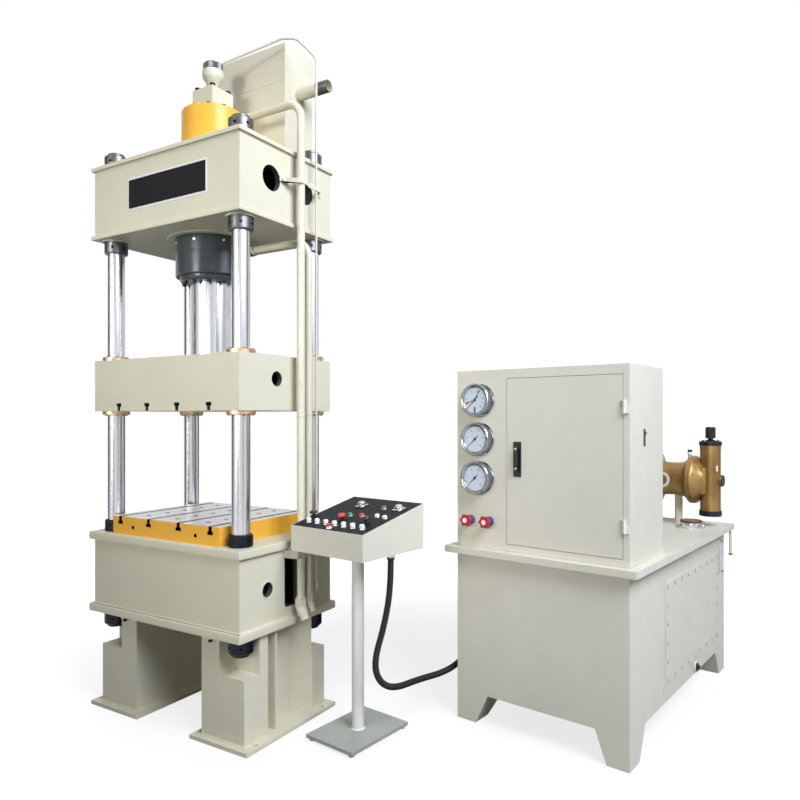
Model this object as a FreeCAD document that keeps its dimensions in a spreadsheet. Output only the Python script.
"""Four-column hydraulic press with its operator console and its power unit.

Millimetres, +Z up.  The floor is z = 0 and the origin lies at the middle of the whole machine's
footprint.  The press is described about its own centre, the console about its post, and the power
unit about the front right foot of its oil tank; each group has one place and one turn about +Z.
"""

import FreeCAD, Part
import math
import os

import Sketcher

Vector = FreeCAD.Vector
os.makedirs("parts", exist_ok=True)
doc = FreeCAD.newDocument("hydraulic_press")
sheet = doc.addObject("Spreadsheet::Sheet", "Dims")


class Size:
    """A length or an angle, held as a number and as the expression that gives it in the document."""

    def __init__(self, value, text):
        self.value = float(value)
        self.text = text

    def __add__(self, other):
        other = as_size(other)
        return Size(self.value + other.value, f"({self.text} + {other.text})")

    def __sub__(self, other):
        other = as_size(other)
        return Size(self.value - other.value, f"({self.text} - {other.text})")

    def __mul__(self, other):
        other = as_size(other)
        return Size(self.value * other.value, f"({self.text} * {other.text})")

    def __truediv__(self, other):
        other = as_size(other)
        return Size(self.value / other.value, f"({self.text} / {other.text})")

    def __radd__(self, other):
        return as_size(other) + self

    def __rsub__(self, other):
        return as_size(other) - self

    def __rmul__(self, other):
        return as_size(other) * self

    def __neg__(self):
        return as_size(0) - self


def as_size(value):
    return value if isinstance(value, Size) else Size(value, repr(float(value)))


def cosine(angle):
    return Size(math.cos(math.radians(angle.value)), f"cos({angle.text} * 1 deg)")


def sine(angle):
    return Size(math.sin(math.radians(angle.value)), f"sin({angle.text} * 1 deg)")


DIMENSIONS = {
    # from the press's right side and its centre: the console's post and the tank's near corner
    "console_out": 331, "console_y": 128, "unit_out": 1555, "unit_y": 433, "unit_yaw": -7.5,
    # press frame: bed, open height and crown
    "press_w": 1060, "press_d": 680, "plate": 30, "column_d": 88, "column_in": 70,
    "column_in_y": 80, "column_gap": 0.2, "tube_d": 150, "bed_under": 515, "bed_h": 425,
    "bed_flange": 42, "bed_over": 22, "open_h": 1555, "crown_h": 387, "crown_flange": 22,
    "crown_over": 14, "lift_hole_d": 124, "lift_hole_y": 126, "lift_hole_up": 209,
    "bed_hole_d": 72, "bed_hole_y": 154, "bed_hole_up": 206,
    "window_w": 100, "window_h": 257, "window_y": 20, "window_up": 91,
    # nuts and collars on the columns
    "nut_d": 119, "nut_h": 70, "collar_d": 115, "collar_h": 60, "bed_nut_h": 75,
    "column_end": 14,
    # legs
    "leg_inset": 10, "leg_w": 280, "leg_inset_y": 40, "leg_base": 20, "leg_toe_in": 45,
    "leg_toe": 50, "leg_toe_y": 35, "leg_web": 80, "notch_gap": 40, "notch_gap_y": 4,
    "notch_h": 191, "anchor_in": 25, "anchor_in_y": 85, "anchor_d": 22,
    # bolster and slider with their slots
    "bolster_gap": 12.5, "bolster_inset": 10, "bolster_t": 92, "slot_edge": 60, "slot_neck": 22,
    "slot_head": 38, "slot_head_h": 17, "slot_depth": 40,
    "daylight": 549, "slider_h": 269, "slider_floor": 70, "slider_hole_d": 74,
    "slider_hole_y": 87, "slider_hole_up": 155,
    "bush_od": 138, "bush_stand": 20, "running": 0.05,
    # main cylinder
    "barrel_d": 385, "upper_d": 325, "bore_d": 265, "rod_d": 236, "barrel_drop": 205,
    "gland_t": 28, "gland_d": 345, "packing_h": 48, "barrel_rise": 203, "head_h": 93,
    "piston_up": 352, "piston_h": 90, "seal_h": 25, "seal_t": 9, "fit_gap": 0.1,
    # prefill valve and tank on the crown
    "block_w": 150, "block_h": 117, "bottle_d": 112, "bottle_neck": 52, "bottle_h": 115,
    "cap_d": 103, "cap_h": 40, "tank_left": -240, "tank_w": 600, "tank_front": 170,
    "tank_d": 230, "tank_h": 668, "stub_d": 66, "stub_len": 203, "stub_down": 238,
    # pipes on the right side
    "pipe_out": 54, "head_pipe_d": 40, "head_pipe_y": 30, "head_pipe_up": 135,
    "rod_pipe_d": 38, "rod_pipe_y": 90, "rod_pipe_up": 145, "rod_port_up": 150,
    "pilot_d": 11, "pilot_y": 152, "pilot_up": 190,
    "pipe_bend": 85, "boss_d": 62, "boss_out": 20,
    "clamp_h": 40, "clamp_under": 2, "bracket_up": 225, "bracket_h": 26, "strap": 4,
    # operator console
    "stand_w": 300, "stand_d": 410, "stand_foot": 12, "stand_plate": 18, "post_d": 60,
    "box_w": 466, "box_d": 450, "box_low": 903, "box_rise": 123, "box_tilt": 98, "sheet_t": 3,
    "panel_t": 4, "button_d": 24, "button_gap": 0.5, "button_edge": 59,
    "mushroom_d": 40, "lamp_d": 24, "timer_w": 52, "knob_d": 44,
    # power unit
    "unit_w": 900, "unit_d": 1600, "unit_foot": 150, "lid_top": 891, "lid_h": 35, "lid_over": 48,
    "lid_plate": 10, "cab_d": 440, "cab_h": 894, "cab_sheet": 4, "gauge_side": 290,
    "door_right": 30, "door_up": 35, "door_down": 45, "door_t": 20, "door_gap": 2,
    "hinge_x": 21, "hinge_y": 9, "hinge_d": 16, "hinge_pin_d": 8, "hinge_h": 60,
    "hinge_in": 145, "latch_in": 61, "latch_up": 454, "latch_w": 42,
    "latch_h": 170, "gauge_d": 165, "gauge_in": 137, "gauge_t": 58, "dial_d": 148, "dial_t": 10,
    "valve_up": 139, "valve_in": 85, "valve_pitch": 110, "valve_d": 46, "valve_len": 38,
    "wheel_d": 66, "wheel_t": 22, "stem_d": 12, "cover_t": 12, "cover_in": 160,
    "cover_w": 960, "cover_up": 80, "cover_h": 510, "pump_in": 150, "pump_up": 277,
    "motor_d": 300, "motor_len": 430,
    # corrugated conduit from the console to the cabinet
    "conduit_d": 32, "gland_nut_d": 44, "gland_nut_h": 26,
    "exit_in": 33, "exit_y": 10, "entry_y": 390, "entry_up": 229, "knee_out": 75, "knee_drop": 60,
}

for row, (alias, value) in enumerate(DIMENSIONS.items(), start=1):
    sheet.set(f"A{row}", alias)
    sheet.set(f"B{row}", str(value))
    sheet.setAlias(f"B{row}", alias)
doc.recompute()


class Named:
    """The driving dimensions by name."""


d = Named()
for alias, value in DIMENSIONS.items():
    setattr(d, alias, Size(value, f"Dims.{alias}"))

# ---- sizes that follow from the driving ones -------------------------------------------------
# levels of the press, from the floor up
d.bed_top = d.bed_under + d.bed_h
d.bolster_top = d.bed_top + d.bolster_t
d.slider_under = d.bolster_top + d.daylight
d.slider_top = d.slider_under + d.slider_h
d.crown_under = d.bed_top + d.open_h
d.crown_top = d.crown_under + d.crown_h
d.barrel_low = d.crown_under - d.barrel_drop
d.head_low = d.crown_top + d.barrel_rise
d.head_top = d.head_low + d.head_h
d.block_top = d.head_top + d.block_h
d.bottle_top = d.block_top + d.bottle_h
d.piston_low = d.barrel_low + d.piston_up
d.tank_top = d.crown_top + d.tank_h
d.stub_z = d.tank_top - d.stub_down
# places across the press
d.half_w = d.press_w / 2
d.half_d = d.press_d / 2
d.column_x = d.half_w - d.column_in
d.column_y = d.half_d - d.column_in_y
d.leg_out = d.half_w - d.leg_inset
d.leg_in = d.leg_out - d.leg_w
d.leg_half_d = d.half_d - d.leg_inset_y
d.leg_base_in = d.leg_in - d.leg_toe_in
d.leg_base_out = d.leg_out + d.leg_toe
d.leg_base_half_d = d.leg_half_d + d.leg_toe_y
d.leg_web_out = d.leg_out - d.leg_web
d.notch_in = d.column_x - d.nut_d / 2 - d.notch_gap
d.notch_y = d.column_y - d.nut_d / 2 - d.notch_gap_y
d.notch_z = d.bed_under - d.notch_h
d.anchor_x = d.leg_base_out - d.anchor_in
d.anchor_y = d.leg_base_half_d - d.anchor_in_y
d.bolster_w = (d.column_x - d.collar_d / 2 - d.bolster_gap) * 2
d.bolster_d = d.press_d - d.bolster_inset * 2
d.slot_pitch = (d.bolster_w / 2 - d.slot_edge) / 1.5
d.lift_hole_z = d.crown_under + d.lift_hole_up
d.bed_hole_z = d.bed_under + d.bed_hole_up
d.window_low = d.bed_under + d.window_up
d.window_high = d.window_low + d.window_h
d.slider_hole_z = d.slider_under + d.slider_hole_up
# pipes on the press's right side
d.pipe_x = d.half_w + d.pipe_out
d.head_pipe_low = d.bed_under + d.head_pipe_up
d.head_pipe_z = d.head_low + d.head_h * 0.4
d.rod_pipe_low = d.bed_under + d.rod_pipe_up
d.rod_pipe_z = d.barrel_low + d.rod_port_up
d.pilot_low = d.bed_under + d.pilot_up
d.pilot_z = d.bottle_top + d.cap_h
d.clamp_low = d.bed_top - d.bed_flange - d.clamp_under - d.clamp_h
d.bracket_low = d.crown_under + d.bracket_up - d.bracket_h / 2
d.tank_right = d.tank_left + d.tank_w
d.tank_back = d.tank_front + d.tank_d
d.stub_y = (d.tank_front + d.tank_back) / 2
# console and power unit
d.console_x = d.half_w + d.console_out
d.unit_x = d.half_w + d.unit_out
d.box_front = d.box_low + d.box_rise
d.box_back = d.box_front + d.box_tilt
d.exit_x = d.box_w / 2 - d.exit_in
d.cab_top = d.lid_top + d.cab_h
d.door_left = d.unit_w - d.gauge_side
d.door_low = d.lid_top + d.door_up
d.door_high = d.cab_top - d.door_down
d.hinge_low = d.door_low + d.hinge_in
d.hinge_high = d.door_high - d.hinge_in
d.latch_x = d.door_left - d.latch_in
d.latch_z = d.lid_top + d.latch_up
d.gauge_x = d.unit_w - d.gauge_in
d.valve_z = d.lid_top + d.valve_up
d.valve_x1 = d.unit_w - d.valve_in
d.valve_x2 = d.valve_x1 - d.valve_pitch
d.pump_y = d.unit_d - d.pump_in
d.pump_z = d.lid_top + d.pump_up
d.entry_z = d.lid_top + d.entry_up
GAUGES = {"upper": d.cab_top - 150, "middle": d.cab_top - 345, "lower": d.cab_top - 539}
half_box = d.box_w / 2
button_pitch = (d.box_w - d.button_edge * 2) / 6
# name: (across, up from the front edge, cap diameter, cap height, how far the cap stands out)
BUTTONS = {f"push_button_{index + 1}": (button_pitch * (index - 3), 66, d.button_d, 12, 9)
           for index in range(7)}
BUTTONS["stop_button"] = (0, 26, d.button_d, 12, 9)
BUTTONS["emergency_button"] = (-2, 122, d.mushroom_d, 16, 24)
BUTTONS["left_start_button"] = (43 - half_box, 118, d.mushroom_d, 14, 26)
BUTTONS["right_start_button"] = (half_box - 83, 122, d.mushroom_d, 14, 26)
LAMPS = [(-20, 196), (48, 206), (half_box - 101, 222), (half_box - 47, 214), (86, 330)]
TIMERS = {"left_timer_knob": (-60, 330), "right_timer_knob": (half_box - 57, 336)}
# ---- end of the sizes ----------------------------------------------------------------------------

CORNERS = [(-1, -1), (1, -1), (-1, 1), (1, 1)]
# how many sides stand in for a circle on what repeats or is small, or hides inside
FINE, ROUND, SMALL, TINY = 32, 20, 14, 10
AXES = {
    "x": FreeCAD.Rotation(Vector(0, 0, 1), Vector(1, 0, 0)),
    "y": FreeCAD.Rotation(Vector(0, 0, 1), Vector(0, 1, 0)),
    "-y": FreeCAD.Rotation(Vector(0, 0, 1), Vector(0, -1, 0)),
    "z": FreeCAD.Rotation(),
}
subparts = []


# ---- building blocks -------------------------------------------------------------------------

def bind(thing, prop, size):
    thing.setExpression(prop, as_size(size).text)


def put(thing, at, turn=None):
    thing.Placement = FreeCAD.Placement(Vector(), turn or FreeCAD.Rotation())
    for axis, size in zip("xyz", at):
        bind(thing, f"Placement.Base.{axis}", size)
    return thing


def block(size_x, size_y, size_z, at):
    """A box from its lowest corner."""
    box = doc.addObject("Part::Box", "Block")
    bind(box, "Length", size_x)
    bind(box, "Width", size_y)
    bind(box, "Height", size_z)
    return put(box, at)


def slab(size_x, size_y, size_z, low, x=0, y=0):
    """A box centred on x and y that stands on the height low."""
    return block(size_x, size_y, size_z, (x - as_size(size_x) / 2, y - as_size(size_y) / 2, low))


def bar(diameter, length, at, axis="z", turn=None):
    """A round bar from the point at along an axis."""
    cylinder = doc.addObject("Part::Cylinder", "Bar")
    bind(cylinder, "Radius", as_size(diameter) / 2)
    bind(cylinder, "Height", length)
    return put(cylinder, at, turn or AXES[axis])


def prism(diameter, length, at, axis="z", sides=SMALL, turn=None, hole=False):
    """A many-sided round; a hole's flats keep to the diameter, a shaft's corners do."""
    thing = doc.addObject("Part::Prism", "Prism")
    thing.Polygon = sides
    reach = 2 * math.cos(math.pi / sides) if hole else 2
    bind(thing, "Circumradius", as_size(diameter) / reach)
    bind(thing, "Height", length)
    return put(thing, at, turn or AXES[axis])


def hexagon(across, length, at, axis="z"):
    """A hexagonal head across its corners."""
    return prism(across, length, at, axis, 6)


def ring(outer, inner, length, at, axis="z", sides=ROUND, bore_sides=None):
    """A many-sided ring whose bore clears a round of the inner diameter."""
    thing = prism(outer, length, at, axis, sides)
    bore = prism(inner, length, at, axis, bore_sides or sides, hole=True)
    return cut(thing, bore)


def fuse(*things):
    union = doc.addObject("Part::MultiFuse", "Union")
    union.Shapes = list(things)
    return union


def cut(base, *tools):
    result = doc.addObject("Part::Cut", "Cut")
    result.Base = base
    result.Tool = tools[0] if len(tools) == 1 else fuse(*tools)
    return result


def group(*things):
    compound = doc.addObject("Part::Compound", "Group")
    compound.Links = list(things)
    return compound


def new_body(at=(0, 0, 0), turn=None):
    return put(doc.addObject("PartDesign::Body", "Body"), at, turn)


def sketch_on(body, plane, offset=0):
    """A sketch on one of the body's origin planes, moved along the plane's normal."""
    sketch = body.newObject("Sketcher::SketchObject", "Sketch")
    origin = [feature for feature in body.Origin.OriginFeatures if feature.Role == plane][0]
    sketch.AttachmentSupport = (origin, [""])
    sketch.MapMode = "FlatFace"
    bind(sketch, "AttachmentOffset.Base.z", offset)
    return sketch


def pin_point(sketch, line, point, at):
    """Ties a point of the sketch to its two coordinates."""
    for kind, size in zip(("DistanceX", "DistanceY"), at):
        size = as_size(size)
        index = sketch.addConstraint(Sketcher.Constraint(kind, -1, 1, line, point, size.value))
        bind(sketch, f"Constraints[{index}]", size)


def polygon(sketch, points):
    """A closed outline through the points."""
    corners = [tuple(as_size(size) for size in point) for point in points]
    places = [Vector(x.value, y.value, 0) for x, y in corners]
    first = sketch.GeometryCount
    count = len(places)
    for index, place in enumerate(places):
        sketch.addGeometry(Part.LineSegment(place, places[(index + 1) % count]), False)
    for index in range(count):
        following = first + (index + 1) % count
        sketch.addConstraint(Sketcher.Constraint("Coincident", first + index, 2, following, 1))
    for index, corner in enumerate(corners):
        pin_point(sketch, first + index, 1, corner)
    return sketch


def rectangle(sketch, low, high):
    return polygon(sketch, [low, (high[0], low[1]), high, (low[0], high[1])])


def circle(sketch, diameter, at):
    """A round hole in a sketch."""
    x, y, radius = as_size(at[0]), as_size(at[1]), as_size(diameter) / 2
    round_line = Part.Circle(Vector(x.value, y.value, 0), Vector(0, 0, 1), radius.value)
    index = sketch.addGeometry(round_line, False)
    pin_point(sketch, index, 3, (x, y))
    place = sketch.addConstraint(Sketcher.Constraint("Radius", index, radius.value))
    bind(sketch, f"Constraints[{place}]", radius)
    return sketch


def ngon(sketch, diameter, at, sides=6):
    """A many-sided hole in a sketch, whose flats keep to the diameter."""
    reach = as_size(diameter) / (2 * math.cos(math.pi / sides))
    corners = []
    for index in range(sides):
        turn = 2 * math.pi * (index + 0.5) / sides
        corners.append((at[0] + reach * math.cos(turn), at[1] + reach * math.sin(turn)))
    return polygon(sketch, corners)


def pad(body, sketch, length, symmetric=False):
    feature = body.newObject("PartDesign::Pad", "Pad")
    feature.Profile = sketch
    feature.SideType = "Symmetric" if symmetric else "One side"
    bind(feature, "Length", length)
    return feature


def pocket(body, sketch, length=None, symmetric=False, forward=False):
    """Removes the sketch's area; with no length it goes all the way through."""
    feature = body.newObject("PartDesign::Pocket", "Pocket")
    feature.Profile = sketch
    feature.SideType = "Symmetric" if symmetric else "One side"
    feature.Reversed = forward
    if length is None:
        feature.Type = "ThroughAll"
    else:
        bind(feature, "Length", length)
    return feature


def shape_feature(shape):
    feature = doc.addObject("Part::Feature", "Form")
    feature.Shape = shape
    return feature


def skin(rings):
    """A closed solid of flat faces through rings of as many corners each."""
    faces = [Part.Face(Part.makePolygon(ring[::-1] + [ring[-1]])) for ring in rings[:1]]
    faces += [Part.Face(Part.makePolygon(ring + [ring[0]])) for ring in rings[-1:]]
    for low, high in zip(rings, rings[1:]):
        for index, corner in enumerate(low):
            after = (index + 1) % len(low)
            corners = [corner, low[after], high[after], high[index]]
            faces.append(Part.Face(Part.makePolygon(corners + [corner])))
    shell = Part.makeShell(faces)
    shell.sewShape()
    solid = Part.Solid(Part.Shell(shell.Faces))
    if solid.Volume < 0:
        solid.reverse()
    return solid


def spindle(profile, at=(0, 0, 0), axis="z", sides=ROUND):
    """A many-sided turned form through (radius, height) pairs."""
    place = FreeCAD.Placement(Vector(*(as_size(size).value for size in at)), AXES[axis])
    rings = []
    for radius, height in profile:
        radius, height = as_size(radius).value, as_size(height).value
        turns = [2 * math.pi * index / sides for index in range(sides)]
        rings.append([place.multVec(Vector(radius * math.cos(turn), radius * math.sin(turn),
                                           height)) for turn in turns])
    return shape_feature(skin(rings))


def bent_path(points, bend=None):
    """Straight runs and tangent arcs, of one radius or as large as each corner allows: the path's
    stops, with a stop every few degrees of an arc, and the arcs' radii."""
    corners = [Vector(*point) for point in points]
    runs = [(after - before).Length for before, after in zip(corners, corners[1:])]
    stops, radii = [corners[0]], []
    for index in range(1, len(corners) - 1):
        before = (corners[index] - corners[index - 1]).normalize()
        after = (corners[index + 1] - corners[index]).normalize()
        turn = before.getAngle(after)
        reach = 0.45 * min(runs[index - 1], runs[index])
        radius = min(bend, reach / math.tan(turn / 2)) if bend else reach / math.tan(turn / 2)
        start = corners[index] - before * radius * math.tan(turn / 2)
        inward = (after - before * before.dot(after)).normalize()
        centre = start + inward * radius
        steps = math.ceil(math.degrees(turn) / ARC_STEP)
        for step in range(steps + 1):
            share = turn * step / steps
            stops.append(centre - inward * radius * math.cos(share)
                         + before * radius * math.sin(share))
        radii.append(radius)
    return stops + [corners[-1]], radii


ARC_STEP = 15


def tube(points, diameter, bend=None, sides=SMALL):
    """A many-sided tube along a bent path, mitred at each stop."""
    stops, radii = bent_path(points, bend)
    ways = [(after - before).normalize() for before, after in zip(stops, stops[1:])]
    across = ways[0].cross(Vector(0, 1, 0) if abs(ways[0].y) < 0.9 else Vector(1, 0, 0))
    across.normalize()
    over = ways[0].cross(across)
    turns = [2 * math.pi * (index + 0.5) / sides for index in range(sides)]
    rings = [[stops[0] + (across * math.cos(turn) + over * math.sin(turn)) * (diameter / 2)
              for turn in turns]]
    for index, stop in enumerate(stops[1:]):
        way = ways[index]
        plane = way if index + 1 == len(ways) else (way + ways[index + 1]).normalize()
        rings.append([corner + way * ((stop - corner).dot(plane) / way.dot(plane))
                      for corner in rings[-1]])
    length = sum((after - before).Length for before, after in zip(stops, stops[1:]))
    return skin(rings), length, radii


def subpart(label, place, *things):
    """Names a piece, or a group of like pieces, and stands it in its group's place."""
    single = len(things) == 1 and things[0].TypeId in ("Part::Cut", "Part::MultiFuse", "Part::Feature")
    thing = things[0] if single else group(*things)
    thing.Label = label
    origin_x, origin_y, yaw = place
    thing.Placement = FreeCAD.Placement(Vector(), FreeCAD.Rotation(Vector(0, 0, 1), yaw.value))
    bind(thing, "Placement.Base.x", origin_x)
    bind(thing, "Placement.Base.y", origin_y)
    bind(thing, "Placement.Rotation.Angle", yaw)
    subparts.append(thing)
    return thing


# ---- where the three groups stand --------------------------------------------------------------

frame_half_d = d.half_d + d.bed_over
lid_right = d.lid_over
lid_back = d.unit_d + d.lid_over
lid_left = d.unit_w + d.lid_over
reach_right = d.unit_x + lid_right * cosine(d.unit_yaw) - lid_back * sine(d.unit_yaw)
reach_back = d.unit_y - lid_left * sine(d.unit_yaw) + lid_back * cosine(d.unit_yaw)
press_x = (d.leg_base_out - reach_right) / 2
press_y = (frame_half_d - reach_back) / 2
NO_TURN = as_size(0)
PRESS = (press_x, press_y, NO_TURN)
CONSOLE = (press_x + d.console_x, press_y + d.console_y, d.unit_yaw)
UNIT = (press_x + d.unit_x, press_y + d.unit_y, d.unit_yaw)


# ---- press frame ---------------------------------------------------------------------------------

def leg_body():
    """The right leg: a base plate, two boxed posts, a web between them and its slanted stiffener."""
    body = new_body()
    base = rectangle(sketch_on(body, "XY_Plane"), (d.leg_base_in, -d.leg_base_half_d),
                     (d.leg_base_out, d.leg_base_half_d))
    for side in (-1, 1):
        circle(base, d.anchor_d, (d.anchor_x, side * d.anchor_y))
    pad(body, base, d.leg_base)
    post_y, rib_y, rib_t, web_in = d.leg_half_d - 160, 86, 12, 50
    plan = polygon(sketch_on(body, "XY_Plane", d.leg_base), [
        (d.leg_in, -d.leg_half_d), (d.leg_out, -d.leg_half_d), (d.leg_out, -post_y),
        (d.leg_out - web_in, -post_y), (d.leg_out - web_in, -rib_y), (d.leg_out, -rib_y),
        (d.leg_out, rib_t - rib_y), (d.leg_web_out, rib_t - rib_y), (d.leg_web_out, post_y - 25),
        (d.leg_out, d.notch_y + 4), (d.leg_out, d.leg_half_d), (d.leg_in, d.leg_half_d)])
    pad(body, plan, d.bed_under - d.leg_base)
    notch = sketch_on(body, "XY_Plane", d.notch_z)
    for side in (-1, 1):
        y_in, y_out = side * d.notch_y, side * (d.leg_half_d + 1)
        rectangle(notch, (d.notch_in, y_in), (d.leg_out + 1, y_out))
    pocket(body, notch, forward=True)
    return body


def make_legs():
    right = leg_body()
    left = doc.addObject("Part::Mirroring", "Mirrored")
    left.Source = right
    left.Normal = Vector(1, 0, 0)
    subpart("right_leg", PRESS, right)
    subpart("left_leg", PRESS, left)


def side_pocket(side, low, high, inner):
    """The hollow at one side of a welded box, between its two column tubes."""
    outer = d.half_w - d.plate
    depth = (d.column_y - d.tube_d / 2 - 10) * 2
    start = inner if side > 0 else -outer
    return block(outer - inner, depth, high - low, (start, -depth / 2, low))


def column_holes(diameter, low, length):
    return [prism(diameter, length, (x * d.column_x, y * d.column_y, low), sides=ROUND, hole=True)
            for x, y in CORNERS]


def make_bed():
    height = d.bed_top - d.bed_under
    wide, deep = d.press_w + d.bed_over * 2, d.press_d + d.bed_over * 2
    solid = [slab(d.press_w, d.press_d, height, d.bed_under),
             slab(wide, deep, d.bed_flange, d.bed_under),
             slab(wide, deep, d.bed_flange, d.bed_top - d.bed_flange)]
    inner = d.column_x - d.tube_d - 70
    holes = [side_pocket(side, d.bed_under + d.bed_flange, d.bed_top - d.bed_flange, inner)
             for side in (-1, 1)]
    holes += column_holes(d.column_d + d.column_gap * 2, d.bed_under - 1, height + 2)
    for start in (inner + 1, -d.half_w - 10):
        length = d.half_w + 9 - inner
        holes.append(prism(d.bed_hole_d, length, (start, -d.bed_hole_y, d.bed_hole_z), "x"))
        holes.append(block(length, d.window_w, d.window_h,
                           (start, d.window_y - d.window_w / 2, d.window_low)))
    subpart("bed", PRESS, cut(fuse(*solid), *holes))


def make_crown():
    wide, deep = d.press_w + d.crown_over * 2, d.press_d + d.crown_over * 2
    solid = [slab(d.press_w, d.press_d, d.crown_h, d.crown_under),
             slab(wide, deep, d.crown_flange, d.crown_under),
             slab(wide, deep, d.crown_flange, d.crown_top - d.crown_flange)]
    inner = d.upper_d / 2 + 45
    holes = [side_pocket(side, d.crown_under + d.plate, d.crown_top - d.plate, inner)
             for side in (-1, 1)]
    holes += column_holes(d.column_d + d.column_gap * 2, d.crown_under - 20, d.crown_h + 40)
    holes += [prism(d.upper_d + d.fit_gap * 2, d.crown_h + 2, (0, 0, d.crown_under - 1),
                    sides=FINE, hole=True)]
    for start in (inner + 1, -d.half_w - 5):
        for side in (-1, 1):
            holes.append(prism(d.lift_hole_d, d.half_w + 4 - inner,
                               (start, side * d.lift_hole_y, d.lift_hole_z), "x"))
    subpart("crown", PRESS, cut(fuse(*solid), *holes))


def make_columns():
    low = d.bed_under - d.bed_nut_h - d.column_end
    high = d.crown_top + d.nut_h + d.column_end
    columns = [bar(d.column_d, high - low, (x * d.column_x, y * d.column_y, low))
               for x, y in CORNERS]
    subpart("columns", PRESS, *columns)


def make_nuts():
    upper, lower = [], []
    bore = d.column_d + d.column_gap * 2
    for x, y in CORNERS:
        place = (x * d.column_x, y * d.column_y)
        heights = {"top": (upper, d.nut_d, d.nut_h, d.crown_top),
                   "under": (upper, d.nut_d, d.nut_h, d.crown_under - d.nut_h),
                   "collar": (lower, d.collar_d, d.collar_h, d.bed_top),
                   "foot": (lower, d.nut_d, d.bed_nut_h, d.bed_under - d.bed_nut_h)}
        for nuts, diameter, height, low in heights.values():
            nuts.append(ring(diameter, bore, height, (*place, low), sides=TINY))
    subpart("crown_nuts", PRESS, *upper)
    subpart("bed_nuts", PRESS, *lower)


# ---- bolster, slider and their slots -------------------------------------------------------------

def slot_outline(sketch, centre, face, into):
    """A T slot seen from the front, open at the height face and running into the metal."""
    neck, head = d.slot_neck / 2, d.slot_head / 2
    shoulder = face + into * (d.slot_depth - d.slot_head_h)
    end = face + into * d.slot_depth
    mouth = face - into * 1
    return polygon(sketch, [(centre - neck, mouth), (centre + neck, mouth),
                            (centre + neck, shoulder), (centre + head, shoulder),
                            (centre + head, end), (centre - head, end),
                            (centre - head, shoulder), (centre - neck, shoulder)])


def cut_slots(body, face, into):
    sketch = sketch_on(body, "XZ_Plane")
    for step in (-1.5, -0.5, 0.5, 1.5):
        slot_outline(sketch, step * d.slot_pitch, face, into)
    return pocket(body, sketch, d.press_d * 2, symmetric=True)


def make_bolster():
    body = new_body()
    plan = rectangle(sketch_on(body, "XY_Plane", d.bed_top), (-d.bolster_w / 2, -d.bolster_d / 2),
                     (d.bolster_w / 2, d.bolster_d / 2))
    pad(body, plan, d.bolster_t)
    cut_slots(body, d.bolster_top, -1)
    subpart("bolster", PRESS, body)


def make_slider():
    body = new_body()
    plan = sketch_on(body, "XY_Plane", d.slider_under)
    rectangle(plan, (-d.half_w, -d.press_d / 2), (d.half_w, d.press_d / 2))
    pad(body, plan, d.slider_h)
    cut_slots(body, d.slider_under, 1)
    inner = d.column_x - d.tube_d - 70
    low, high = d.slider_under + d.slider_floor, d.slider_top - d.plate
    holes = [side_pocket(side, low, high, inner) for side in (-1, 1)]
    holes += column_holes(d.bush_od + d.fit_gap, d.slider_under - 1, d.slider_h + 2)
    for start in (inner + 1, -d.half_w - 5):
        holes.append(prism(d.slider_hole_d, d.half_w + 4 - inner,
                           (start, -d.slider_hole_y, d.slider_hole_z), "x"))
    subpart("slider", PRESS, cut(body, *holes))


def make_bushes():
    stand = d.bush_stand
    bushes = [ring(d.bush_od, d.column_d + d.running * 2, d.slider_h + stand * 2,
                   (x * d.column_x, y * d.column_y, d.slider_under - stand))
              for x, y in CORNERS]
    subpart("guide_bushes", PRESS, *bushes)


# ---- main cylinder -------------------------------------------------------------------------------

def make_cylinder():
    low = d.barrel_low
    barrel = [prism(d.barrel_d, d.crown_under - low, (0, 0, low), sides=FINE),
              prism(d.upper_d, d.head_low - low, (0, 0, low), sides=FINE)]
    boss_in = d.bore_d / 2 + 10
    rod_boss = prism(d.boss_d, d.barrel_d / 2 + d.boss_out - boss_in,
                     (boss_in, d.rod_pipe_y, d.rod_pipe_z), "x")
    bore = prism(d.bore_d, d.head_low - low + 2, (0, 0, low - 1), sides=FINE, hole=True)
    subpart("cylinder_barrel", PRESS, cut(fuse(*barrel, rod_boss), bore))
    head = prism(d.upper_d, d.head_top - d.head_low, (0, 0, d.head_low), sides=FINE)
    head_boss = prism(d.boss_d, d.upper_d / 2 + d.boss_out - 100,
                      (100, d.head_pipe_y, d.head_pipe_z), "x")
    subpart("cylinder_head", PRESS, fuse(head, head_boss))


def make_gland():
    """The gland ring under the barrel and the packing that it holds inside the bore."""
    seat, hole = d.barrel_low, d.rod_d + d.running * 2
    subpart("gland_ring", PRESS, ring(d.gland_d, hole, d.gland_t, (0, 0, seat - d.gland_t),
                                      sides=FINE))
    subpart("rod_seal", PRESS, ring(d.bore_d - d.fit_gap * 2, hole, d.packing_h, (0, 0, seat),
                                    sides=FINE))


def make_piston():
    """The rod and its piston are one piece; the seal seats round the piston's upper step."""
    low, foot = d.piston_low, d.slider_top
    step = d.bore_d - d.seal_t * 2
    land = d.piston_h - d.seal_h
    rod = bar(d.rod_d, low - foot, (0, 0, foot))
    piston = prism(d.bore_d - d.running * 2, land, (0, 0, low), sides=FINE, hole=True)
    boss = prism(step, d.piston_h, (0, 0, low), sides=FINE)
    subpart("piston_rod", PRESS, fuse(rod, piston, boss))
    seal = prism(d.bore_d - d.running * 2, d.seal_h, (0, 0, low + land), sides=FINE, hole=True)
    subpart("piston_seal", PRESS, cut(seal, prism(step, d.seal_h, (0, 0, low + land), sides=FINE)))


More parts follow.
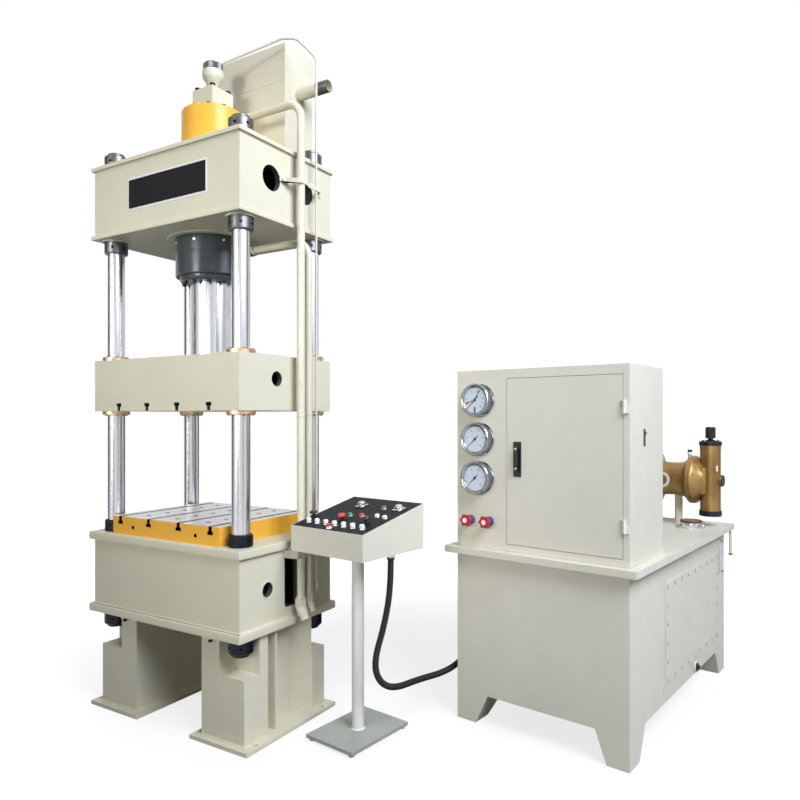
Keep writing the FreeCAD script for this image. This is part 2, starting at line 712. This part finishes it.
def make_valve():
    subpart("valve_block", PRESS, slab(d.block_w, d.block_w, d.block_top - d.head_top, d.head_top))
    neck, belly = d.bottle_neck / 2, d.bottle_d / 2
    rise = d.bottle_top - d.block_top
    points = [(neck + 8, 0), (neck + 8, 8), (neck, 8.5), (neck + 4, rise * 0.2)]
    points += [(belly - 8, rise * 0.42), (belly, rise * 0.6), (belly, rise - 10), (belly - 6, rise)]
    subpart("valve_actuator", PRESS, spindle(points, (0, 0, d.block_top), sides=SMALL))
    subpart("valve_cap", PRESS, prism(d.cap_d, d.cap_h, (0, 0, d.bottle_top)))


def make_prefill_tank():
    wide, deep = d.tank_right - d.tank_left, d.tank_back - d.tank_front
    body = block(wide, deep, d.tank_top - d.crown_top, (d.tank_left, d.tank_front, d.crown_top))
    stub = prism(d.stub_d, d.stub_len + 10, (d.tank_right - 10, d.stub_y, d.stub_z), "x", ROUND)
    bore = prism(d.stub_d - 10, d.stub_len, (d.tank_right + 1, d.stub_y, d.stub_z), "x", ROUND)
    subpart("prefill_tank", PRESS, cut(fuse(body, stub), bore))


def make_pipes():
    x, bend = d.pipe_x.value, d.pipe_bend.value
    head_y, rod_y, pilot_y = d.head_pipe_y.value, d.rod_pipe_y.value, d.pilot_y.value
    head_end = (d.upper_d / 2 + d.boss_out).value
    rod_end = (d.barrel_d / 2 + d.boss_out).value
    head_z, rod_z, pilot_z = d.head_pipe_z.value, d.rod_pipe_z.value, d.pilot_z.value
    routes = {
        "head_pipe": ([(x, head_y, d.head_pipe_low.value), (x, head_y, head_z),
                       (head_end, head_y, head_z)], d.head_pipe_d.value, bend, SMALL),
        "rod_pipe": ([(x, rod_y, d.rod_pipe_low.value), (x, rod_y, rod_z),
                      (rod_end, rod_y, rod_z)], d.rod_pipe_d.value, bend, SMALL),
        "pilot_tube": ([(x, pilot_y, d.pilot_low.value), (x, pilot_y, pilot_z - 55),
                        (x - 107, pilot_y - 32, pilot_z + 60), (x - 190, pilot_y - 48, pilot_z + 75),
                        (d.cap_d.value / 2 - 4, 14, pilot_z - 5)], d.pilot_d.value, bend, 8),
    }
    for label, (points, diameter, radius, sides) in routes.items():
        shape, length, radii = tube(points, diameter, radius, sides)
        print(label, "length", round(length), "radii", [round(value) for value in radii])
        subpart(label, PRESS, shape_feature(shape))


def pipe_end(diameter, at_y, low, across):
    """A union nut on a pipe's lower end with its open elbow below."""
    nut_h, stub = across * 0.6, across * 1.3
    nut = hexagon(across, nut_h, (d.pipe_x, at_y, low - nut_h))
    slant = FreeCAD.Rotation(Vector(0, 0, 1), Vector(0.45, 0, -0.89))
    knee = low - nut_h + 4
    outlet = prism(across * 0.86, stub, (d.pipe_x - 6, at_y, knee), sides=TINY, turn=slant)
    opening = prism(diameter * 0.6, stub, (d.pipe_x + 4, at_y, knee - 20), sides=8, turn=slant)
    return cut(fuse(nut, outlet), opening)


def make_pipe_fittings():
    x, face, gap = d.pipe_x, d.half_w, d.fit_gap * 2
    low = d.clamp_low
    near = d.head_pipe_y
    clamp = block(x + 32 - face, 210, d.clamp_h, (face, near - 72, low))
    holes = [prism(size + gap, d.clamp_h + 2, (x, y, low - 1), sides=8, hole=True) for size, y in (
        (d.head_pipe_d, d.head_pipe_y), (d.rod_pipe_d, d.rod_pipe_y), (d.pilot_d, d.pilot_y))]
    # the strap on the crown is one bent strip: foot, riser, over the thick pipe, along, and back
    t = d.strap
    over = x + d.head_pipe_d / 2 + gap
    along = x + d.pilot_d / 2 + gap
    outer = [(face, -100), (face + t, -100), (face + t, -60), (over + t, -24), (over + t, 24),
             (along + t, 50), (along + t, 150), (face + t, 186), (face + t, 226), (face, 226)]
    inner = [(face, 184), (along, 148), (along, 48), (over, 22), (over, -22), (face, -62)]
    strap = new_body()
    plan = polygon(sketch_on(strap, "XY_Plane", d.bracket_low),
                   [(reach, near + at) for reach, at in outer + inner])
    pad(strap, plan, d.bracket_h)
    ends = [pipe_end(d.head_pipe_d, d.head_pipe_y, d.head_pipe_low, 62),
            pipe_end(d.rod_pipe_d, d.rod_pipe_y, d.rod_pipe_low, 54),
            hexagon(26, 30, (x, d.pilot_y, d.pilot_low - 30))]
    subpart("pipe_fittings", PRESS, cut(clamp, *holes), strap, *ends)


# ---- operator console ------------------------------------------------------------------------------

panel_rise = d.box_back - d.box_front
panel_slope = Size(math.degrees(math.atan2(panel_rise.value, d.box_d.value)),
                   f"(atan2({panel_rise.text}; {d.box_d.text}) / 1 deg)")
PANEL_TURN = FreeCAD.Rotation(Vector(1, 0, 0), panel_slope.value)


def on_panel(across, up, lift=0):
    """A point of the console's sloping face: across it, up it from the front edge, and above it."""
    along, rise = cosine(panel_slope), sine(panel_slope)
    return (as_size(across), up * along - lift * rise - d.box_d / 2,
            d.box_front + up * rise + lift * along)


def panel_round(diameter, length, across, up, lift, sides=TINY, hole=False):
    """A many-sided round that stands square on the panel."""
    thing = prism(diameter, length, on_panel(across, up, lift), "z", sides, PANEL_TURN, hole)
    bind(thing, "Placement.Rotation.Angle", panel_slope)
    return thing


STEM_D, STEM_DEEP, STEM_SIDES = 14, 22, 6


def stem_hole(across, up, sides=STEM_SIDES):
    return panel_round(STEM_D + 2 * d.button_gap, 24, across, up, -12, sides, hole=True)


def make_console():
    plate_low, post_low = d.stand_foot, d.stand_foot + d.stand_plate
    top_plate, collar = 6, 14
    pieces = [slab(d.stand_w, d.stand_d, d.stand_plate, plate_low),
              prism(d.post_d, d.box_low - post_low, (0, 0, post_low), sides=ROUND),
              prism(d.post_d + collar * 2, collar, (0, 0, post_low), sides=ROUND),
              slab(150, 150, top_plate, d.box_low - top_plate)]
    for x, y in CORNERS:
        inset_x, inset_y = d.stand_w / 2 - 22, d.stand_d / 2 - 22
        pieces.append(hexagon(30, d.stand_foot, (x * inset_x, y * inset_y, 0)))
    subpart("console_stand", CONSOLE, fuse(*pieces))

    body = new_body()
    half, wall = d.box_d / 2, d.sheet_t
    side = polygon(sketch_on(body, "YZ_Plane"), [(-half, d.box_low), (half, d.box_low),
                                                 (half, d.box_back), (-half, d.box_front)])
    pad(body, side, d.box_w, symmetric=True)
    inner = polygon(sketch_on(body, "YZ_Plane"), [
        (wall - half, d.box_low + wall), (half - wall, d.box_low + wall),
        (half - wall, d.box_back + 20), (wall - half, d.box_front + 20)])
    pocket(body, inner, d.box_w - wall * 2, symmetric=True)
    subpart("console_box", CONSOLE, body)

    lip = wall + 0.2
    reach = d.box_d / cosine(panel_slope) - lip
    low_y, low_z = on_panel(0, lip)[1:]
    high_y, high_z = on_panel(0, reach)[1:]
    plate = new_body()
    edge = polygon(sketch_on(plate, "YZ_Plane"), [
        (low_y, low_z - d.panel_t), (high_y, high_z - d.panel_t), (high_y, high_z), (low_y, low_z)])
    pad(plate, edge, d.box_w - lip * 2, symmetric=True)
    holes = [stem_hole(across, up) for across, up, *cap in BUTTONS.values()]
    holes += [stem_hole(across, up, TINY) for across, up in TIMERS.values()]
    subpart("console_panel", CONSOLE, cut(plate, *holes))

    for label, (across, up, size, height, out) in BUTTONS.items():
        sides = TINY if size is d.button_d else SMALL
        cap = panel_round(size, height, across, up, out, sides)
        stem = panel_round(STEM_D, STEM_DEEP + out, across, up, -STEM_DEEP, STEM_SIDES)
        subpart(label, CONSOLE, fuse(cap, stem))
    fittings = [panel_round(d.lamp_d, 16, across, up, 0, 8) for across, up in LAMPS]
    for label, (across, up) in TIMERS.items():
        half = d.timer_w.value / 2
        frame = block(d.timer_w, d.timer_w, 8, on_panel(across - half, up - half))
        put(frame, on_panel(across - half, up - half), PANEL_TURN)
        bind(frame, "Placement.Rotation.Angle", panel_slope)
        fittings.append(cut(frame, stem_hole(across, up, TINY)))
        subpart(label, CONSOLE, fuse(panel_round(d.knob_d, 18, across, up, 8.5, SMALL),
                                     panel_round(STEM_D, 20, across, up, -10)))
    subpart("panel_fittings", CONSOLE, *fittings)


# ---- power unit --------------------------------------------------------------------------------------

def make_tank():
    top = d.lid_top - d.lid_plate
    body = new_body()
    plan = rectangle(sketch_on(body, "XY_Plane"), (-d.unit_w, 0), (0, d.unit_d))
    pad(body, plan, top)
    across = polygon(sketch_on(body, "XZ_Plane"), [
        (-105, -1), (-160, d.unit_foot), (180 - d.unit_w, d.unit_foot), (110 - d.unit_w, -1)])
    pocket(body, across, d.unit_d * 3, symmetric=True)
    along = polygon(sketch_on(body, "YZ_Plane"), [
        (120, -1), (200, d.unit_foot), (d.unit_d - 200, d.unit_foot), (d.unit_d - 120, -1)])
    pocket(body, along, d.unit_w * 3, symmetric=True)
    subpart("oil_tank", UNIT, body)
    wide, deep = d.unit_w + d.lid_over * 2, d.unit_d + d.lid_over * 2
    fold = 5
    lid = block(wide, deep, d.lid_h, (-d.unit_w - d.lid_over, -d.lid_over, d.lid_top - d.lid_h))
    under = block(wide - fold * 2, deep - fold * 2, d.lid_h - d.lid_plate,
                  (fold - d.unit_w - d.lid_over, fold - d.lid_over, d.lid_top - d.lid_h))
    subpart("tank_lid", UNIT, cut(lid, under))
    subpart("cleanout_cover", UNIT, block(d.cover_t, d.cover_w, d.cover_h,
                                      (0, d.unit_d - d.cover_in - d.cover_w, d.unit_foot + d.cover_up)))


def hinge_knuckle(low, high):
    return prism(d.hinge_d, high - low, (-d.hinge_x, -d.hinge_y, low))


def make_cabinet():
    wall, low = d.cab_sheet, d.lid_top
    outer = block(d.unit_w, d.cab_d, d.cab_top - low, (-d.unit_w, 0, low))
    inner = block(d.unit_w - wall * 2, d.cab_d - wall * 2, d.cab_top - low - wall * 2,
                  (wall - d.unit_w, wall, low + wall))
    doorway = block(d.door_left - d.door_right, wall + 60, d.door_high - d.door_low,
                    (-d.door_left, -20, d.door_low))
    strip = block(d.unit_w + 8, d.cab_d + 8, 12, (-d.unit_w - 4, -4, low))
    strip_hole = block(d.unit_w - 8, d.cab_d - 8, 14, (4 - d.unit_w, 4, low - 1))
    shell = [cut(outer, inner, doorway), cut(strip, strip_hole)]
    pins = []
    half = d.hinge_h / 2
    for height in (d.hinge_low, d.hinge_high):
        leaf = block(d.hinge_x - 2, d.hinge_y, half, (-d.hinge_x, -d.hinge_y, height - half))
        pin = prism(d.hinge_pin_d, d.hinge_h, (-d.hinge_x, -d.hinge_y, height - half))
        pins += [hinge_knuckle(height - half, height), leaf, pin]
    subpart("cabinet", UNIT, fuse(*shell, *pins))


def make_door():
    gap, fold = d.door_gap, 2.5
    wide = d.door_left - d.door_right - gap * 2
    tall = d.door_high - d.door_low - gap * 2
    front = -2
    pan = block(wide, d.door_t, tall, (gap - d.door_left, front, d.door_low + gap))
    hollow = block(wide - fold * 2, d.door_t, tall - fold * 2,
                   (gap + fold - d.door_left, front + fold, d.door_low + gap + fold))
    plate = slab(d.latch_w, 5, d.latch_h, d.latch_z - d.latch_h / 2, -d.latch_x, front - 2.5)
    half = d.hinge_h / 2
    pieces = [cut(pan, hollow), plate]
    lift = 0.3
    for height in (d.hinge_low, d.hinge_high):
        reach = d.door_right + gap + 6 - d.hinge_x
        leaf = block(reach, 4, half - lift, (-d.hinge_x - reach, -d.hinge_y, height + lift))
        arm = block(6, d.hinge_y + front, half - lift,
                    (-d.hinge_x - reach, -d.hinge_y, height + lift))
        knuckle = hinge_knuckle(height + lift, height + half)
        hole = prism(d.hinge_pin_d + d.running * 2, half + 2, (-d.hinge_x, -d.hinge_y, height),
                     hole=True)
        pieces.append(cut(fuse(leaf, arm, knuckle), hole))
    subpart("cabinet_door", UNIT, fuse(*pieces))
    turn_z = d.latch_z + d.latch_h / 2 - 34
    face = front - 5 - 0.3
    lever = fuse(prism(24, 16, (-d.latch_x, face, turn_z), "-y"),
                 block(22, 12, 118, (-d.latch_x - 11, face - 16, turn_z - 112)))
    subpart("door_latch", UNIT, lever)


def needle(face, height):
    """A pointer at the dial's zero, down and to the left."""
    zero = FreeCAD.Rotation(Vector(0, 1, 0), 225)
    reach = d.dial_d / 2 - 10
    pieces = [prism(16, 4, (-d.gauge_x, face, height), "-y", TINY)]
    for wide, along in ((3, reach), (5, -26)):
        low = min(along.value, 0) if isinstance(along, Size) else min(along, 0)
        start = zero.multVec(Vector(-wide / 2, 0, low))
        arm = block(wide, 1.5, along if low == 0 else -along, (0, 0, 0))
        pieces.append(put(arm, (-d.gauge_x + start.x, face - 3, height + start.z), zero))
    return fuse(*pieces)


def make_gauges():
    cases = []
    for label, height in GAUGES.items():
        case = prism(d.gauge_d, d.gauge_t, (-d.gauge_x, 0, height), "-y", ROUND)
        dial = -(d.gauge_t - d.dial_t)
        recess = prism(d.dial_d, d.dial_t + 1, (-d.gauge_x, dial, height), "-y", ROUND)
        cases.append(cut(case, recess))
        subpart(f"{label}_gauge_needle", UNIT, needle(dial - 0.5, height))
    subpart("gauge_cases", UNIT, *cases)


def make_valves():
    bodies = []
    for label, across in (("left", d.valve_x1), ("right", d.valve_x2)):
        bodies.append(fuse(prism(d.valve_d, d.valve_len, (-across, 0, d.valve_z), "-y"),
                           prism(d.stem_d, 22, (-across, -d.valve_len, d.valve_z), "-y", TINY)))
        wheel = new_body((-across, -d.valve_len - 4, d.valve_z), AXES["-y"])
        lobes = []
        for index in range(12):
            turn = math.pi * (index + 0.5) / 6
            radius = d.wheel_d / 2 * (1 if index % 4 < 2 or index % 2 else 0.86)
            lobes.append((radius * math.cos(turn), radius * math.sin(turn)))
        pad(wheel, polygon(sketch_on(wheel, "XY_Plane"), lobes), d.wheel_t)
        hole = prism(d.stem_d + d.running * 2, 20, (-across, -d.valve_len - 3, d.valve_z), "-y",
                     TINY, hole=True)
        subpart(f"{label}_handwheel", UNIT, cut(wheel, hole))
    subpart("valve_bodies", UNIT, *bodies)


def make_pump():
    y, z = d.pump_y, d.pump_z
    casing = spindle([(118, -345), (118, -325), (102, -300), (102, -215), (112, -180), (145, -152),
                      (145, -118), (118, -95), (92, -60)], (0, y, z), "x")
    control = prism(118, 400, (-40, y, z - 190), sides=TINY)
    caps = [prism(128, 24, (-40, y, z - 214), sides=TINY),
            prism(128, 26, (-40, y, z + 210), sides=TINY)]
    knob = [prism(30, 40, (-40, y, z + 236), sides=8), prism(58, 46, (-40, y, z + 276), sides=TINY)]
    port = prism(70, 54, (-20, y, z), "x", TINY)
    inlet = prism(96, 60, (-285, y - 140, z), "y", TINY)
    post = prism(46, z - 95 - d.lid_top, (-225, y, d.lid_top), sides=TINY)
    subpart("pump", UNIT, fuse(casing, control, *caps, *knob, port, inlet, post))


def make_motor():
    y, z, start = d.pump_y, d.pump_z, -345.1
    frame_d, length = d.motor_d, d.motor_len
    body = prism(frame_d, length, (start - length, y, z), "x", ROUND)
    cowl = prism(frame_d + 12, 84, (start - length - 2, y, z), "x", ROUND)
    flange = prism(frame_d + 36, 16, (start - 16, y, z), "x", ROUND)
    box = slab(150, 130, 70, z + frame_d / 2 - 12, start - length / 2, y)
    feet = [block(60, 300, z - d.lid_top - 90, (start - where, y - 150, d.lid_top))
            for where in (150, 370)]
    subpart("motor", UNIT, fuse(body, cowl, flange, box, *feet))


# ---- conduit -------------------------------------------------------------------------------------------

def on_floor_plan(place, point):
    """A point given in a group's own frame, in the machine's frame, as plain numbers."""
    origin_x, origin_y, yaw = (size.value for size in place)
    turn = math.radians(yaw)
    x, y, z = point
    return (origin_x + x * math.cos(turn) - y * math.sin(turn),
            origin_y + x * math.sin(turn) + y * math.cos(turn), z)


def make_conduit():
    nut_h, knee_x = d.gland_nut_h, -d.unit_w - d.knee_out
    subpart("console_gland", CONSOLE, hexagon(d.gland_nut_d, nut_h,
                                              (d.exit_x, d.exit_y, d.box_low - nut_h)))
    mouth = d.entry_z - d.knee_drop
    knee = fuse(prism(d.gland_nut_d, d.knee_out + d.gland_nut_d / 2,
                      (knee_x - d.gland_nut_d / 2, d.entry_y, d.entry_z), "x", 6),
                prism(d.gland_nut_d, d.knee_drop, (knee_x, d.entry_y, mouth)))
    subpart("cabinet_gland", UNIT, knee)
    start = on_floor_plan(CONSOLE, (d.exit_x.value, d.exit_y.value, (d.box_low - nut_h).value))
    end = on_floor_plan(UNIT, (knee_x.value, d.entry_y.value, mouth.value))
    # from the press's centre: down from the console and a low bend; then from the tank's near
    # right foot: along the tank's left side and up it
    near = [(start[0] - press_x.value, start[1] - press_y.value, 745), (1042, 87, 575),
            (1008, 45, 402), (1012, 86, 296), (1036, 180, 238), (1085, 335, 243),
            (1135, 505, 232)]
    beside = [(-965, 120, 235), (-975, 262, 290), (-985, 345, 405), (-985, 385, 575),
              (knee_x.value, d.entry_y.value, 820)]
    points = [start] + [on_floor_plan((press_x, press_y, NO_TURN), point) for point in near]
    points += [on_floor_plan(UNIT, point) for point in beside] + [end]
    shape, length, radii = tube(points, d.conduit_d.value, sides=TINY)
    section = TINY / 2 * math.sin(2 * math.pi / TINY) * (d.conduit_d.value / 2) ** 2
    print("conduit length", round(length), "radii", [round(value) for value in radii],
          "volume ratio", round(shape.Volume / (section * length), 4))
    for point in points:
        print("  conduit point", [round(value / 1000, 4) for value in point])
    conduit = shape_feature(shape)
    conduit.Label = "conduit"
    subparts.append(conduit)


make_legs()
make_bed()
make_crown()
make_columns()
make_nuts()
make_bolster()
make_slider()
make_bushes()
make_cylinder()
make_gland()
make_piston()
make_valve()
make_prefill_tank()
make_pipes()
make_pipe_fittings()
make_console()
make_tank()
make_cabinet()
make_door()
make_gauges()
make_valves()
make_pump()
make_motor()
make_conduit()

doc.recompute()
for thing in doc.Objects:
    if "Invalid" in thing.State or "Error" in thing.State:
        raise RuntimeError(f"{thing.Name} ({thing.Label}) failed: {thing.State}")
for thing in subparts:
    if thing.Shape.isNull() or not thing.Shape.isValid() or not thing.Shape.Solids:
        raise RuntimeError(f"{thing.Label} has no valid shape")
for thing in subparts:
    thing.Shape.exportStep(f"parts/{thing.Label}.step")
print(len(subparts), "sub-parts")
